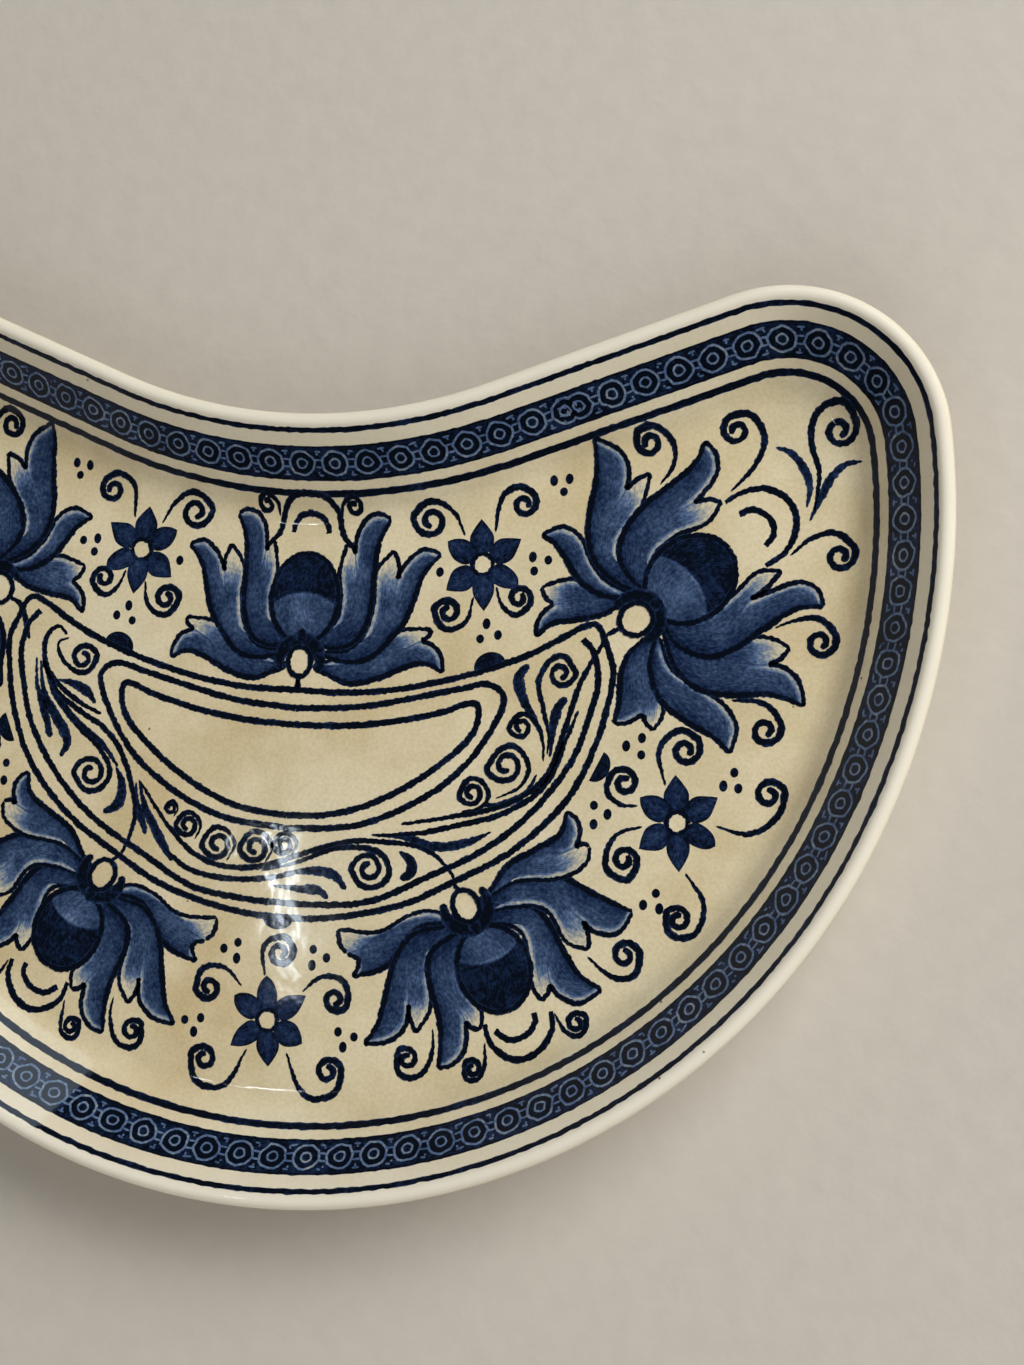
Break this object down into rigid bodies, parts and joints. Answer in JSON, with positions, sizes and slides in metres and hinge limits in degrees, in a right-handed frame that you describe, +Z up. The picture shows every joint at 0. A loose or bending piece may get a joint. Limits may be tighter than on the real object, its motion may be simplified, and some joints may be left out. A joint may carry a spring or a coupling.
{
  "type": "serving dish",
  "caption": "Shallow kidney-shaped serving dish with a sloping wall, rounded lip, flat well and foot ring, cream glazed and decorated with a blue border and flowers.",
  "frame": {"origin": "under the middle of the dish, on the face of the foot ring that rests on the table", "axes": "+Z up out of the hollow, +X from horn to horn, +Y from the round belly to the hollow side"},
  "size_m": [0.2662, 0.1892, 0.02],
  "materials": {
    "fired_clay": "matte, unglazed",
    "cream_glaze": "gloss",
    "blue_print": "gloss, blue transfer print under the glaze"
  },
  "bodies": {
    "root": {"biscuit_body": "fired_clay", "glaze_coat": "cream_glaze", "foot_recess_glaze": "cream_glaze"}
  },
  "joints": []
}
